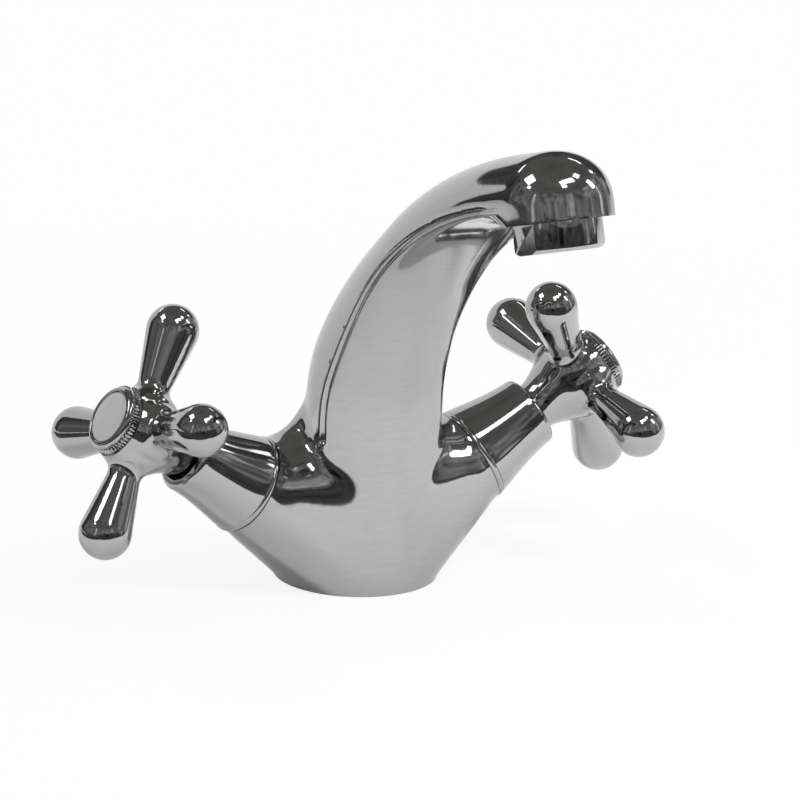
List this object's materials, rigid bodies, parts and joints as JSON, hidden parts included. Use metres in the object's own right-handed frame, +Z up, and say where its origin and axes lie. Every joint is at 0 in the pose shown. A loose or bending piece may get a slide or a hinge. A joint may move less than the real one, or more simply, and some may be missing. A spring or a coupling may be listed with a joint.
{
  "type": "two-handle basin mixer tap",
  "caption": "Chromed basin mixer tap with a fixed swan-neck spout and ball-ended cross handles on raised valve branches, on a round foot.",
  "frame": {"origin": "centre of the round foot's bottom face, on the deck", "axes": "+Z up, -Y the way the spout points, +X towards the right-hand valve as seen from behind the spout looking along +Y"},
  "size_m": [0.19, 0.164, 0.1557],
  "materials": {
    "chrome": "polished chrome plate",
    "index_metal": "satin index disc",
    "raw_brass": "turned brass",
    "steel": "stainless steel",
    "rubber": "black rubber",
    "ceramic": "lapped ceramic",
    "filter_plastic": "moulded plastic filter"
  },
  "bodies": {
    "fixed_body": {"body": "chrome", "base_gasket": "rubber", "aerator_housing": "chrome", "aerator_insert": "filter_plastic", "aerator_washer": "rubber", "left_sleeve": "chrome", "left_headwork_body": "raw_brass", "left_headwork_gasket": "rubber", "left_seat_seal": "rubber", "left_fixed_disc": "ceramic", "right_sleeve": "chrome", "right_headwork_body": "raw_brass", "right_headwork_gasket": "rubber", "right_seat_seal": "rubber", "right_fixed_disc": "ceramic"},
    "left_valve_handle": {"left_moving_disc": "ceramic", "left_spindle": "raw_brass", "left_spindle_orings": "rubber", "left_spindle_clip": "steel", "left_handle": "chrome", "left_handle_screw": "steel", "left_index_cap": "chrome", "left_index_disc": "index_metal"},
    "right_valve_handle": {"right_moving_disc": "ceramic", "right_spindle": "raw_brass", "right_spindle_orings": "rubber", "right_spindle_clip": "steel", "right_handle": "chrome", "right_handle_screw": "steel", "right_index_cap": "chrome", "right_index_disc": "index_metal"}
  },
  "joints": [
    {"name": "left_handle_turn", "type": "hinge", "parent": "fixed_body", "child": "left_valve_handle", "pos_m": [0, 0, 0.01], "axis": [-0.866, 0, 0.5], "range_deg": [0, 90]},
    {"name": "right_handle_turn", "type": "hinge", "parent": "fixed_body", "child": "right_valve_handle", "pos_m": [0, 0, 0.01], "axis": [0.866, 0, 0.5], "range_deg": [0, 90]}
  ]
}
